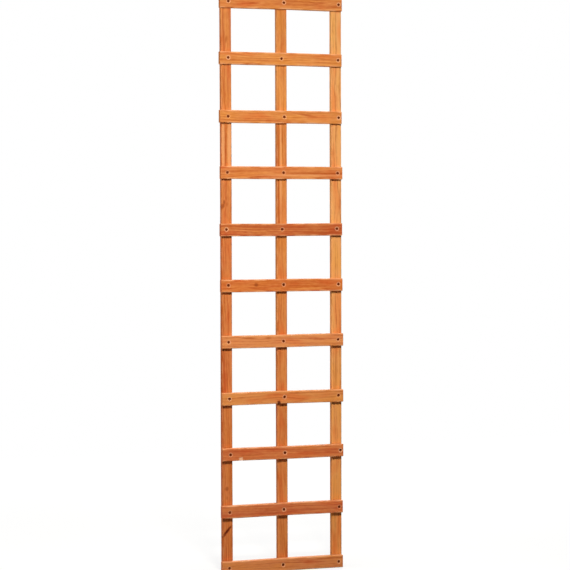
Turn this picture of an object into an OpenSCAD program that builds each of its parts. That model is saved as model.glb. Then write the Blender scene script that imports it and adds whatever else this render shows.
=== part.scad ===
// Wooden plant trellis panel: horizontal slats laid across upright battens and
// fixed with one countersunk screw at every crossing.
// Frame: X runs along the slats, Z up the uprights, and the slatted face looks
// towards -Y. The origin is the middle of the panel's base.

/* [Panel] */
// Width across the outer uprights
panel_w = 402; // [300:1:900]
// Overall height, along the uprights
panel_h = 1830; // [1200:10:2400]
// Number of slats
slat_count = 11; // [5:1:16]
// Number of uprights
upright_count = 3; // [2:1:5]
// How far the slats run past the left upright
slat_past = 6; // [0:0.5:20]
// How far the slats stop short of the right upright's outer side
slat_short = 3; // [0:0.5:4]

/* [Timber] */
// Height of a slat on the panel's face
slat_h = 40; // [28:1:60]
// Thickness of a slat, front to back
slat_t = 19; // [14:0.5:30]
// Width of an upright on the panel's face
upright_w = 34; // [28:1:60]
// Thickness of an upright, front to back
upright_t = 19; // [14:0.5:40]
// Radius of the eased long edges
arris_r = 2; // [0.5:0.5:4]

/* [Screws] */
// Outer diameter of the shank
screw_d = 3.5; // [3:0.5:5]
// Diameter of the countersunk head
head_d = 7; // [6:0.5:9]
// Height of the straight rim round the head
head_rim = 0.4; // [0.2:0.1:0.8]
// Depth of the head below the slat's face
head_sink = 1.5; // [0.5:0.25:2.5]
// Length of the tapered point
point_len = 5; // [3:0.5:8]
// Wood left behind the point
point_cover = 4.5; // [2:0.5:8]
// Clearance between a screw and the wood round it
screw_gap = 0.1; // [0.05:0.05:0.3]

/* [Cross recess] */
// Span of the recess across the head
recess_span = 4; // [3:0.2:5]
// Width of each wing
recess_wing = 1.1; // [0.8:0.1:1.6]
// Depth of the recess
recess_depth = 2; // [1:0.1:2.5]

/* [Hidden] */
$fn = 48;

// The panel is put together by hand, so each slat lies a little above or below
// its even place (bottom slat first),
slat_drift = [0, -1, 2, 0, 1.5, 0, -2, 0, -2, 2, 0];
// and to the right or left of it,
slat_slip = [0, 0, 2, 2, 2, 0, -1, 0, -2, -2, -1];
// and each screw strays from the middle of its crossing: sideways, from the
// left upright to the right one,
screw_stray = [
    [0, -5, 0],
    [2, -2, 2],
    [5, 2, 6],
    [2, 1, 0],
    [0, -2, -1],
    [0, -1, 0],
    [-6, -5, -5],
    [-2, 0, -2],
    [1, 3, 2],
    [2, -6, 0],
    [3, 2, 2]
];
// and upwards, by the same amount along a row
screw_lift = [-1, -1, 0, 1, 0, 2, 2, 0, 0, 1, 1];

last_slat = slat_count - 1;
last_upright = upright_count - 1;

// The plane where slats and uprights meet, with the panel centred on Y
joint_y = (slat_t - upright_t) / 2;
face_y = joint_y - slat_t;

slat_l = panel_w + slat_past - slat_short;
slat_pitch = (panel_h - slat_h) / last_slat;
upright_pitch = (panel_w - upright_w) / last_upright;

head_r = head_d / 2;
screw_r = screw_d / 2;
screw_len = slat_t + upright_t - head_sink - point_cover;
// Where the right-angled cone under the head meets the shank
cone_end = head_rim + head_r - screw_r;

// The uprights stand off the origin by half of what the slats add on one side,
// so that the whole panel is centred
slips = [for (i = [0:last_slat]) slip(i)];
left_reach = max(0, slat_past - min(slips));
right_reach = max(0, max(slips) - slat_short);
frame_x = (left_reach - right_reach) / 2;

// Entry of a list that starts over when there are more pieces than entries
function repeating(list, i) = list[i % len(list)];

// The end slats stay flush with the ends of the uprights
function drift(i) = i == 0 || i == last_slat ? 0 : repeating(slat_drift, i);
function slat_z(i) = slat_h / 2 + i * slat_pitch + drift(i);
function slip(i) = repeating(slat_slip, i);
function slat_x(i) = frame_x - panel_w / 2 - slat_past + slip(i);
function upright_x(k) = frame_x - panel_w / 2 + upright_w / 2 + k * upright_pitch;
function screw_x(i, k) = upright_x(k) + repeating(repeating(screw_stray, i), k);
function screw_z(i) = slat_z(i) + repeating(screw_lift, i);

function two_digits(n) = n < 10 ? str("0", n) : str(n);
function slat_name(i) = str("cross_slat_", two_digits(i + 1));
function screws_name(i) = str("slat_", two_digits(i + 1), "_screws");
function inner_name(k) = upright_count == 3 ? "middle_upright" : str("middle_upright_", k);
function upright_name(k) = k == 0 ? "left_upright" : k == last_upright ? "right_upright" : inner_name(k);

// Cross-section of a planed lath, a by b from one corner, with eased corners
module lath_section(a, b) {
    translate([arris_r, 0])
        square([a - 2 * arris_r, b]);
    translate([0, arris_r])
        square([a, b - 2 * arris_r]);
    for (x = [arris_r, a - arris_r], y = [arris_r, b - arris_r])
        translate([x, y])
            circle(arris_r);
}

// Puts its child at the crossing of slat i and upright k: the child's origin is
// the middle of the head's top, and its +Z points into the wood
module at_crossing(i, k) {
    translate([screw_x(i, k), face_y + head_sink, screw_z(i)])
        rotate([-90, 0, 0])
            children();
}

// Cross-shaped drive recess that narrows with depth, carried on above the head
module recess() {
    tip_r = recess_wing / 2;
    intersection() {
        union() {
            for (turn = [0, 90])
                rotate(turn)
                    cube([recess_span, recess_wing, 2 * recess_depth], center = true);
        }
        cylinder(h = 2 * recess_depth, r1 = recess_span - tip_r, r2 = tip_r, center = true);
    }
}

// Countersunk wood screw: flat head, right-angled cone, shank and tapered point
module screw() {
    difference() {
        rotate_extrude()
            polygon([
                [0, 0],
                [head_r, 0],
                [head_r, head_rim],
                [screw_r, cone_end],
                [screw_r, screw_len - point_len],
                [0, screw_len]
            ]);
        recess();
    }
}

// Drilled hole that a screw sits in, its countersink carried out past the face
module screw_hole() {
    bore_r = screw_r + screw_gap;
    cone_r = head_r + head_rim + screw_gap;
    mouth = head_sink + screw_gap;
    rotate_extrude()
        polygon([
            [0, -mouth],
            [cone_r + mouth, -mouth],
            [bore_r, cone_r - bore_r],
            [bore_r, screw_len - point_len],
            [0, screw_len + screw_gap]
        ]);
}

// Upright batten behind the slats, drilled for one screw at each slat
module upright(k) {
    color("#cc7a40")
        difference() {
            translate([upright_x(k) - upright_w / 2, joint_y, 0])
                linear_extrude(panel_h)
                    lath_section(upright_w, upright_t);
            for (i = [0:last_slat])
                at_crossing(i, k)
                    screw_hole();
        }
}

// Slat across the front, drilled and countersunk at each upright
module slat(i) {
    color("#c5703c")
        difference() {
            translate([slat_x(i), face_y, slat_z(i) - slat_h / 2])
                rotate([90, 0, 90])
                    linear_extrude(slat_l)
                        lath_section(slat_t, slat_h);
            for (k = [0:last_upright])
                at_crossing(i, k)
                    screw_hole();
        }
}

// The row of screws that holds one slat
module slat_screws(i) {
    color("#3a2a22")
        for (k = [0:last_upright])
            at_crossing(i, k)
                screw();
}

for (k = [0:last_upright])
    upright(k);

for (i = [0:last_slat])
    slat(i);

for (i = [0:last_slat])
    slat_screws(i);
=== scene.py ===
"""Wooden plant trellis panel: stained softwood slats screwed across upright battens.

Lengths are in millimetres while a piece is worked out, and its mesh is stored in metres.
"""

import logging
import math
from dataclasses import dataclass, field
from enum import Enum, IntEnum
from typing import Any

import bpy
import numpy as np
from mathutils import Matrix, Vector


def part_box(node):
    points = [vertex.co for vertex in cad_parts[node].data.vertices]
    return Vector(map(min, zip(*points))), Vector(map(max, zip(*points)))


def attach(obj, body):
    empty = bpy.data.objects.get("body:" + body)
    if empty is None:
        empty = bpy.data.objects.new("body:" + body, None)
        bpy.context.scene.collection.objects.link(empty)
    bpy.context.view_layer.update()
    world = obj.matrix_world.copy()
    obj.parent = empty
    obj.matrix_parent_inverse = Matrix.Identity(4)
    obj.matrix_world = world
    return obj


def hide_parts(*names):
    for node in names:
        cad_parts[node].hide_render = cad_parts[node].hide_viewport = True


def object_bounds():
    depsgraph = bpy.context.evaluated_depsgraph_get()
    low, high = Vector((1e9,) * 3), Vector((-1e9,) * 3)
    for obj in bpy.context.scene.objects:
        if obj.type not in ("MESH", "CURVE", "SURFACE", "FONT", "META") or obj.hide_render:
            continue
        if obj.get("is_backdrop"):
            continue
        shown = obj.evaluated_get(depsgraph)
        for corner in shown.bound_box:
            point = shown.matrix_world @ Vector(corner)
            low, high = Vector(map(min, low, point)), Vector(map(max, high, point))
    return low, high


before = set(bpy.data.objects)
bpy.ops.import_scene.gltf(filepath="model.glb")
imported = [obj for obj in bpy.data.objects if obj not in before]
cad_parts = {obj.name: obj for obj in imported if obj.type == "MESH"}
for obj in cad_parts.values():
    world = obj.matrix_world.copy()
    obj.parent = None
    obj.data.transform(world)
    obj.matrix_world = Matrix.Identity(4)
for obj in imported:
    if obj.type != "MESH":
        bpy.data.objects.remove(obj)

LOG = logging.getLogger("trellis")
MM = 0.001
TINY = 1e-6
IMAGE_PX = 570
SENSOR_MM = 36.0
SHARP_EDGE = 38.0
SLAT_SEED, SLAT_SEED_STEP, SCREW_SEED = 50, 7, 200
WHITE = (1.0, 1.0, 1.0, 1.0)
MIX = {"data_type": "RGBA", "blend_type": "MIX"}
MULTIPLY = {"data_type": "RGBA", "blend_type": "MULTIPLY"}
OVERLAY = {"data_type": "RGBA", "blend_type": "OVERLAY"}
FROM = ("From Min", "From Max")
TO = ("To Min", "To Max")
ALONG_X = np.array([[1, 0, 0], [0, 0, -1], [0, 1, 0]], float)
ALONG_Z = np.array([[0, 0, 1], [1, 0, 0], [0, 1, 0]], float)
Array = np.ndarray
Colour = tuple[float, ...]
Pair = tuple[float, float]
Socket = bpy.types.NodeSocket
Source = bpy.types.Node | Socket
Tree = bpy.types.NodeTree


def srgb(code: str) -> Colour:
    """Turns an sRGB hex colour into linear red, green, blue and alpha, by the standard curve.

    Args:
        code: a colour such as "#c88040".

    Returns:
        Four linear values, alpha being 1.
    """
    parts = [int(code[i:i + 2], 16) / 255.0 for i in (1, 3, 5)]
    lin = [p / 12.92 if p <= 0.04045 else ((p + 0.055) / 1.055) ** 2.4 for p in parts]
    return (*lin, 1.0)


def blend(first: Colour, second: Colour, share: float) -> Colour:
    """Mixes two linear colours, share being the weight of the second."""
    return tuple(a + (b - a) * share for a, b in zip(first, second))


def add_node(tree: Tree, kind: str, inputs: dict | None = None, **settings: Any) -> bpy.types.Node:
    """Adds one shader node with its settings and links.

    Args:
        tree: the node tree of a material or world.
        kind: the rest of its type's name after ShaderNode.
        inputs: socket name or index to a value, an output or a node, which gives its first output, or
            several names to as many of these.
        settings: properties of the node itself.

    Returns:
        The new node.
    """
    node = tree.nodes.new(f"ShaderNode{kind}")
    for key, value in settings.items():
        setattr(node, key, value)
    for keys, values in (inputs or {}).items():
        for key, value in zip(keys, values) if isinstance(keys, tuple) else [(keys, values)]:
            if isinstance(value, bpy.types.Node):
                value = next(output for output in value.outputs if output.enabled)
            if isinstance(value, Socket):
                tree.links.new(value, node.inputs[key])
            else:
                node.inputs[key].default_value = value
    return node


def set_ramp(node: bpy.types.Node, stops: list[tuple[float, Colour]]) -> None:
    """Gives a colour ramp its stops.

    Args:
        node: the ramp.
        stops: pairs of position and linear colour.
    """
    elements = node.color_ramp.elements
    while len(elements) < len(stops):
        elements.new(0.5)
    for element, (place, colour) in zip(elements, stops):
        element.position = place
        element.color = colour


def new_tree(name: str) -> tuple[bpy.types.Material, Tree]:
    """Makes an empty material.

    Args:
        name: the material's name.

    Returns:
        The material and its node tree.
    """
    material = bpy.data.materials.new(name)
    material.use_nodes = True
    material.node_tree.nodes.clear()
    return material, material.node_tree


def waves(place: Array, seed: int, lengths: tuple[float, ...]) -> Array:
    """A smooth wavering line: the mean of sines of the given wave lengths, each with its own start.

    Args:
        place: where along the line, in the unit of the lengths.
        seed: picks the starts.
        lengths: the wave lengths.

    Returns:
        Values from -1 to 1, in the shape of place.
    """
    starts = np.random.default_rng(seed).uniform(0.0, 2.0 * np.pi, len(lengths))
    sines = [np.sin(2.0 * np.pi * place / length + start) for length, start in zip(lengths, starts)]
    return sum(sines) / len(lengths)


def spaced(stops: list[float], step: float) -> Array:
    """Lines through every stop, with even lines at most one step apart between them.

    Args:
        stops: places in rising order.
        step: the widest space.

    Returns:
        All the places, rising.
    """
    runs = [np.linspace(a, b, max(1, math.ceil((b - a) / step)), endpoint=False)
            for a, b in zip(stops, stops[1:])]
    return np.concatenate([*runs, [stops[-1]]])


def make_object(name: str, points: Array, faces: list[Array], material: bpy.types.Material,
                attributes: dict[str, Array] | None = None) -> bpy.types.Object:
    """Puts points and faces into a new object at the origin, leaving out points that no face uses.

    Args:
        name: the piece's name.
        points: n by 3, in millimetres.
        faces: arrays of point numbers, one row a face.
        material: its finish.
        attributes: name to n by 3 values kept on the points.

    Returns:
        The object, linked to the scene.
    """
    used = np.unique(np.concatenate([group.ravel() for group in faces]))
    rows = [row for group in faces for row in np.searchsorted(used, group).tolist()]
    mesh = bpy.data.meshes.new(name)
    mesh.from_pydata((points[used] * MM).tolist(), [], rows)
    for key, values in (attributes or {}).items():
        layer = mesh.attributes.new(key, "FLOAT_VECTOR", "POINT")
        layer.data.foreach_set("vector", np.ascontiguousarray(values[used], np.float32).ravel())
    mesh.polygons.foreach_set("use_smooth", np.ones(len(mesh.polygons), bool))
    mesh.set_sharp_from_angle(angle=math.radians(SHARP_EDGE))
    mesh.materials.append(material)
    mesh.validate()
    mesh.update()
    piece = bpy.data.objects.new(name, mesh)
    bpy.context.scene.collection.objects.link(piece)
    return piece


def grid_faces(rows: int, columns: int) -> Array:
    """Four-sided faces of a grid of points numbered row by row, its last column joined to the first.

    Args:
        rows: rows of points.
        columns: points in a row.

    Returns:
        Faces in the grid's own order: rows - 1 by columns by 4 point numbers.
    """
    r, c = np.meshgrid(np.arange(rows - 1), np.arange(columns), indexing="ij")
    n = (c + 1) % columns
    ring, next_ring = r * columns, (r + 1) * columns
    return np.stack([ring + c, ring + n, next_ring + n, next_ring + c], -1)


class Draw(IntEnum):
    """What a random line is drawn for, as a step from the lath's or the hole's own seed."""

    RUB = 0
    PLANE = 1
    PALE = 2
    BOW = 3
    SWAY = 5
    BITE = 8
    SPLINTER = 9
    TREE = 100
    RIM = 300


# The wave lengths in which a lath's surface, colour and grain waver.
WAVES = {
    Draw.RUB: (410.0, 173.0, 67.0),
    Draw.PLANE: (97.0, 61.0, 23.0),
    Draw.PALE: (120.0, 53.0),
    Draw.SWAY: (520.0, 210.0),
    Draw.BITE: (7.0, 3.0),
    Draw.SPLINTER: (9.0, 4.1),
}


class Shade(Enum):
    """How deep the preservative stain took on one lath."""

    HONEY = "#e6a464"
    AMBER = "#d08142"
    OCHRE = "#d58b4b"
    TAWNY = "#d78a52"
    COPPER = "#cc783f"
    RUSSET = "#ca713f"
    GINGER = "#c96d31"
    CHESTNUT = "#c97345"
    MAHOGANY = "#b55d30"


class Paint(Enum):
    """The colours of blemishes."""

    HEART = "#96400c"
    RIM = "#641e04"
    RESIN = "#a84a10"
    SAPWOOD = "#f4b478"


class Flaw(Enum):
    """A round knot, a knot sawn along its length, a streak of resin or a streak of pale sapwood."""

    KNOT = "knot"
    SPIKE = "spike"
    STREAK = "streak"
    SAPWOOD = "sapwood"


# How far the face lies below its plane at a blemish's middle: a dry spike shrinks, a knot stands proud.
DIPS = {Flaw.KNOT: -0.10, Flaw.SPIKE: 0.9, Flaw.STREAK: 0.05, Flaw.SAPWOOD: 0.02}

# A blemish's paints from its middle outwards, its edge being at about 0.5: place, paint and cover.
COATS = {
    Flaw.KNOT: [(0.0, Paint.RIM, 0.6), (0.08, Paint.HEART, 0.8), (0.20, Paint.RIM, 0.45),
                (0.27, Paint.HEART, 0.75), (0.38, Paint.HEART, 0.7), (0.47, Paint.RIM, 0.6),
                (0.58, Paint.RESIN, 0.5), (0.95, Paint.RESIN, 0.0)],
    Flaw.SPIKE: [(0.0, Paint.RIM, 0.85), (0.20, Paint.RIM, 0.95), (0.43, Paint.RIM, 0.95),
                 (0.50, Paint.RESIN, 0.6), (0.62, Paint.RESIN, 0.25), (0.85, Paint.RESIN, 0.0)],
    Flaw.STREAK: [(0.0, Paint.RESIN, 0.6), (0.40, Paint.RESIN, 0.35), (0.80, Paint.RESIN, 0.0)],
    Flaw.SAPWOOD: [(0.0, Paint.SAPWOOD, 0.6), (0.40, Paint.SAPWOOD, 0.45), (0.80, Paint.SAPWOOD, 0.0)],
}


@dataclass(frozen=True)
class Blemish:
    """An ellipse on a lath's face.

    along and across place its middle, from the lath's start and centre line; long and wide are
    its half axes, turn is its slope in degrees from the grain, and strong how fully it shows.
    """

    flaw: Flaw
    along: float
    across: float
    long: float
    wide: float
    turn: float = 0.0
    strong: float = 1.0

    def reach(self, along: Array, across: Array) -> Array:
        """Distance from the middle in the ellipse's own directions, each over its half axis.

        Args:
            along: places along the lath.
            across: places across it.

        Returns:
            The distance, which is 1 on the ellipse's edge.
        """
        c, s = math.cos(math.radians(self.turn)), math.sin(math.radians(self.turn))
        da, db = along - self.along, across - self.across
        return np.hypot((c * da + s * db) / self.long, (c * db - s * da) / self.wide)


@dataclass(frozen=True)
class Nick:
    """Damage on a long edge: a bite out of the edge, and a splinter gone from the face beside it.

    side is 1 for the lower edge of a slat and -1 for its upper one, long is half the length, bite and
    splinter are depths, bare is how far the stain is gone and crisp how sharply. The bite falls off by
    the powers fall along the lath and lean across it, slants with the depth, and clears the edge of its
    worn paleness. The splinter's bed lies bed inside the edge. In half lengths, it starts before the
    middle by start, deepens over slope and breaks off over steep.
    """

    along: float
    long: float
    side: int
    bite: float
    splinter: float
    bare: float
    fall: int = 4
    lean: int = 6
    slant: float = 3.0
    clear: float = 3.0
    ragged: float = 0.3
    bed: float = 5.0
    start: float = 1.2
    slope: float = 1.8
    steep: float = 0.2
    torn: float = 0.2
    crisp: float = 2.5


@dataclass(frozen=True)
class Pattern:
    """Noise along the grain: length and width of one cell, repeats at half the size, their strength."""

    long: float
    wide: float
    detail: float = 1.0
    crisp: float = 0.5


@dataclass(frozen=True)
class StainedSoftwood:
    """Planed spruce in a translucent orange-brown stain.

    The eye sees soft growth bands, fine lengthwise fibres and uneven stain, with a dull satin
    surface, a little darker end grain and paler worn edges. Fibres are really about 0.05 mm wide
    and are drawn as bundles of 1.1 mm, so that they show.

    A ring is 3.4 mm wide and strays by 2.2 rings, and band is how dark it gets from its inside out.
    tone weighs bands, fibres, streaks and dapples, and height bands and fibres, which stand up by relief.
    paler and deeper are the shares of the palest and darkest stain, patches the places where blotches
    change the tint, and top_tint the tint at the top of the panel, which changes with height into a
    lath's foot tint at the ground. ragged, widen and centre shape a blemish's edge, which goes through the
    lath. Edges are rubbed and stain is torn within the ranges rub_from and torn_from of the patterns.
    """

    ring: float = 3.4
    stray: float = 2.2
    band: tuple[Pair, ...] = ((0.0, 0.10), (0.45, 0.28), (0.86, 1.0), (0.95, 0.85), (1.0, 0.10))
    fibre: Pattern = Pattern(45.0, 1.1, 4.0, 0.62)
    streak: Pattern = Pattern(260.0, 6.5, 2.0)
    dapple: Pattern = Pattern(17.0, 5.0)
    blotch: Pattern = Pattern(110.0, 26.0)
    waver: Pattern = Pattern(180.0, 22.0)
    tone: tuple[float, ...] = (0.46, 0.75, 1.50, 0.60)
    height: Pair = (0.6, 1.2)
    relief: float = 0.20
    bump: float = 0.6
    rough: Pair = (0.58, 0.74)
    ior: float = 1.5
    gloss: float = 0.10
    paler: float = 0.50
    deeper: float = 0.56
    patches: tuple[float, ...] = (0.30, 0.50, 0.70)
    ragged: float = 0.5
    widen: float = 0.5
    centre: float = -0.12
    through: float = 1.0e4
    rub_from: Pair = (0.35, 0.70)
    rub_to: Pair = (0.5, 1.0)
    torn_from: Pair = (0.28, 0.72)
    end_dark: float = 0.3
    # Pale colour of worn edges, and of the painted highlight on the slats' upper sides.
    pale_wood_and_highlight: str = "#eaa873"
    fresh: str = "#fbc498"
    # Colour of the countersinks' darkened bottoms: partly rust stain, partly painted shade.
    rust_and_shade: str = "#4a1e0a"
    bark: str = "#a03c08"
    honeyed: str = "#eda45c"
    yellowed: Colour = (1.0, 0.98, 0.80, 1.0)
    reddened: Colour = (0.96, 0.72, 0.62, 1.0)
    top_tint: Colour = (1.01, 1.08, 1.07, 1.0)

    def build(self, name: str, shade: Shade, foot: Colour, blemishes: list[Blemish]) -> bpy.types.Material:
        """Makes the material of one lath.

        Args:
            name: the lath's name.
            shade: how deep its stain is.
            foot: the tint that it takes on towards the ground.
            blemishes: the knots and streaks on it.

        Returns:
            The material, which reads the lath's grain, board and wear attributes.
        """
        material, tree = new_tree(f"stained_softwood_{name}")
        grain = add_node(tree, "Attribute", attribute_name="grain").outputs["Vector"]
        bands = self.growth_bands(tree, grain)
        fibres, streaks, blotches, dapples = (
            self.drawn_out(tree, grain, pattern)
            for pattern in (self.fibre, self.streak, self.blotch, self.dapple))
        tone = self.weigh(tree, [bands, fibres, streaks, dapples], self.tone)
        body = srgb(shade.value)
        pale = blend(body, srgb(self.honeyed), self.paler)
        deep = blend(body, srgb(self.bark), self.deeper)
        stain = add_node(tree, "ValToRGB", {"Fac": tone})
        set_ramp(stain, [(0.0, pale), (0.5, body), (1.0, deep)])
        tint = add_node(tree, "ValToRGB", {"Fac": blotches})
        set_ramp(tint, list(zip(self.patches, (self.yellowed, WHITE, self.reddened))))
        patchy = add_node(tree, "Mix", {"Factor": 1.0, "A": stain, "B": tint}, **MULTIPLY)
        colour = self.tint_by_height(tree, patchy, foot)
        for blemish in blemishes:
            colour = self.paint_blemish(tree, colour, blemish, fibres)
        colour = self.wear(tree, colour, deep, streaks, fibres)
        height = self.weigh(tree, [bands, fibres], self.height)
        bump = add_node(tree, "Bump", {
            "Height": height, "Strength": self.bump, "Distance": self.relief * MM})
        rough = add_node(tree, "MapRange", {"Value": tone, TO: self.rough})
        shader = add_node(tree, "BsdfPrincipled", {
            "Base Color": colour, "Roughness": rough, "Normal": bump,
            "IOR": self.ior, "Specular IOR Level": self.gloss})
        add_node(tree, "OutputMaterial", {"Surface": shader})
        return material

    def weigh(self, tree: Tree, patterns: list[Source], weights: tuple[float, ...]) -> Source:
        """Adds patterns: 0.5 plus each pattern's distance from 0.5 times its weight.

        Args:
            tree: the lath's node tree.
            patterns: the patterns, each about 0.5 on the whole.
            weights: one for each.

        Returns:
            The sum.
        """
        total: float | Source = 0.5 - 0.5 * sum(weights)
        for pattern, weight in zip(patterns, weights):
            total = add_node(tree, "Math", {0: pattern, 1: weight, 2: total}, operation="MULTIPLY_ADD")
        return total

    def drawn_out(self, tree: Tree, grain: Source, pattern: Pattern) -> Source:
        """Noise drawn out along the grain.

        Args:
            tree: the lath's node tree.
            grain: places in the tree's trunk.
            pattern: its cell and detail.

        Returns:
            The pattern, about 0.5 on the whole.
        """
        scale = (1.0 / pattern.long, 1.0 / pattern.wide, 1.0 / pattern.wide)
        spread = add_node(tree, "VectorMath", {0: grain, 1: scale}, operation="MULTIPLY")
        return add_node(tree, "TexNoise", {
            "Vector": spread, "Scale": 1.0, "Detail": pattern.detail, "Roughness": pattern.crisp})

    def growth_bands(self, tree: Tree, grain: Source) -> Source:
        """Rings round the tree's heart: the distance from it in ring widths, each darkening outwards.

        Args:
            tree: the lath's node tree.
            grain: places in the tree's trunk.

        Returns:
            The pattern, from 0 in early wood to 1 in late wood.
        """
        flat = add_node(tree, "VectorMath", {0: grain, 1: (0.0, 1.0, 1.0)}, operation="MULTIPLY")
        radius = add_node(tree, "VectorMath", {0: flat}, operation="LENGTH")
        count = add_node(tree, "Math", {0: radius, 1: self.ring}, operation="DIVIDE")
        waver = self.drawn_out(tree, grain, self.waver)
        phase = add_node(tree, "Math", {0: waver, 1: self.stray, 2: count}, operation="MULTIPLY_ADD")
        part = add_node(tree, "Math", {0: phase}, operation="FRACT")
        ramp = add_node(tree, "ValToRGB", {"Fac": part})
        set_ramp(ramp, [(place, (grey, grey, grey, 1.0)) for place, grey in self.band])
        return ramp

    def tint_by_height(self, tree: Tree, colour: Source, foot: Colour) -> Source:
        """Tints the colour by height, from one tint at the top of the panel to the foot's tint at the
        ground:
        a little paler and yellower at the top, redder towards the bottom.

        Args:
            tree: the lath's node tree.
            colour: the wood's colour.
            foot: the tint at the ground.

        Returns:
            The new colour.
        """
        place = add_node(tree, "TexCoord").outputs["Object"]
        height = add_node(tree, "SeparateXYZ", {"Vector": place}).outputs["Z"]
        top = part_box("middle_upright")[1].z
        low = add_node(tree, "MapRange", {"Value": height, FROM: (top, 0.0)})
        tint = add_node(tree, "Mix", {"Factor": low, "A": self.top_tint, "B": foot}, **MIX)
        return add_node(tree, "Mix", {"Factor": 1.0, "A": colour, "B": tint}, **MULTIPLY)

    def paint_blemish(self, tree: Tree, colour: Source, blemish: Blemish, fibres: Source) -> Source:
        """Paints one blemish over the wood, right through it, its edge made ragged by the fibres.

        Args:
            tree: the lath's node tree.
            colour: the wood's colour.
            blemish: what to paint.
            fibres: the fibre pattern.

        Returns:
            The new colour.
        """
        board = add_node(tree, "Attribute", attribute_name="board").outputs["Vector"]
        local = add_node(tree, "Mapping", {
            "Vector": board, "Location": (blemish.along, blemish.across, 0.0),
            "Rotation": (0.0, 0.0, math.radians(blemish.turn)),
            "Scale": (blemish.long, blemish.wide, self.through)}, vector_type="TEXTURE")
        reach = add_node(tree, "VectorMath", {0: local}, operation="LENGTH")
        edge = add_node(tree, "Math", {0: fibres, 1: self.ragged, 2: reach}, operation="MULTIPLY_ADD")
        place = add_node(tree, "Math", {0: edge, 1: self.widen, 2: self.centre}, operation="MULTIPLY_ADD")
        ramp = add_node(tree, "ValToRGB", {"Fac": place})
        set_ramp(ramp, [(stop, (*srgb(paint.value)[:3], cover * blemish.strong))
                        for stop, paint, cover in COATS[blemish.flaw]])
        return add_node(tree, "Mix", {"Factor": ramp.outputs["Alpha"], "A": colour, "B": ramp}, **MIX)

    def wear(self, tree: Tree, colour: Source, deep: Colour, streaks: Source, fibres: Source) -> Source:
        """Pales the worn edges, paints a highlight on the slats' upper sides, darkens the sawn ends, and
        bares the countersinks and splinters, darkening the countersinks' bottoms.

        The wear attribute holds the three shares: edge, end and bare. The edge share holds the worn edges
        and, on a slat's upper side, a painted highlight where light from above falls. The bare share is
        below zero in the bottom of a countersink, darkened there partly as rust stain from the screw and
        partly as painted shade in the recess. Where a share is about a half, the stain is gone from some
        fibres and left on others.

        Args:
            tree: the lath's node tree.
            colour: the wood's colour.
            deep: the stain at its darkest, for the ends.
            streaks: the pattern that the edges are rubbed by.
            fibres: the pattern that the stain is torn by.

        Returns:
            The new colour.
        """
        wear = add_node(tree, "Attribute", attribute_name="wear").outputs["Vector"]
        edge, end, bare = add_node(tree, "SeparateXYZ", {"Vector": wear}).outputs
        rubbed = add_node(tree, "MapRange", {"Value": streaks, FROM: self.rub_from, TO: self.rub_to})
        paled = add_node(tree, "Math", {0: edge, 1: rubbed}, operation="MULTIPLY")
        torn = add_node(tree, "MapRange", {"Value": fibres, FROM: self.torn_from})
        edge_wear_and_highlight, torn_bare = (
            add_node(tree, "Mix", {"Factor": 1.0, "A": share, "B": torn}, **OVERLAY)
            for share in (paled, bare))
        dark = add_node(tree, "Math", {0: end, 1: self.end_dark}, operation="MULTIPLY")
        # The countersinks' bottoms are darkened where the bare share is below zero: partly rust stain,
        # partly painted shade.
        rust_and_shade = add_node(tree, "MapRange", {"Value": bare, FROM: (0.0, -1.0)})
        layers = [(edge_wear_and_highlight, srgb(self.pale_wood_and_highlight)), (dark, deep),
                  (torn_bare, srgb(self.fresh)), (rust_and_shade, srgb(self.rust_and_shade))]
        for share, paint in layers:
            colour = add_node(tree, "Mix", {"Factor": share, "A": colour, "B": paint}, **MIX)
        return colour


@dataclass(frozen=True)
class BronzedSteel:
    """Yellow-brown passivated steel, weathered dark: a deep satin brown, rubbed brighter in specks.

    grit is the size of the specks, and bright the range of their pattern that is rubbed.
    """

    coat: str = "#6e2a08"
    rubbed: str = "#9a5420"
    grit: float = 0.6
    detail: float = 2.0
    bright: Pair = (0.5, 0.8)
    most: float = 0.5
    rough: Pair = (0.45, 0.65)
    gloss: float = 0.06

    def build(self, name: str) -> bpy.types.Material:
        """Makes the material.

        Args:
            name: the material's name.

        Returns:
            The material, mottled at the size of the coat's grit.
        """
        material, tree = new_tree(name)
        place = add_node(tree, "TexCoord").outputs["Object"]
        mottle = add_node(tree, "TexNoise", {
            "Vector": place, "Scale": 1.0 / (self.grit * MM), "Detail": self.detail})
        share = add_node(tree, "MapRange", {"Value": mottle, FROM: self.bright, TO: (0.0, self.most)})
        colour = add_node(tree, "Mix", {
            "Factor": share, "A": srgb(self.coat), "B": srgb(self.rubbed)}, **MIX)
        rough = add_node(tree, "MapRange", {"Value": mottle, TO: self.rough})
        shader = add_node(tree, "BsdfPrincipled", {
            "Base Color": colour, "Roughness": rough, "Specular IOR Level": self.gloss})
        add_node(tree, "OutputMaterial", {"Surface": shader})
        return material


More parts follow.
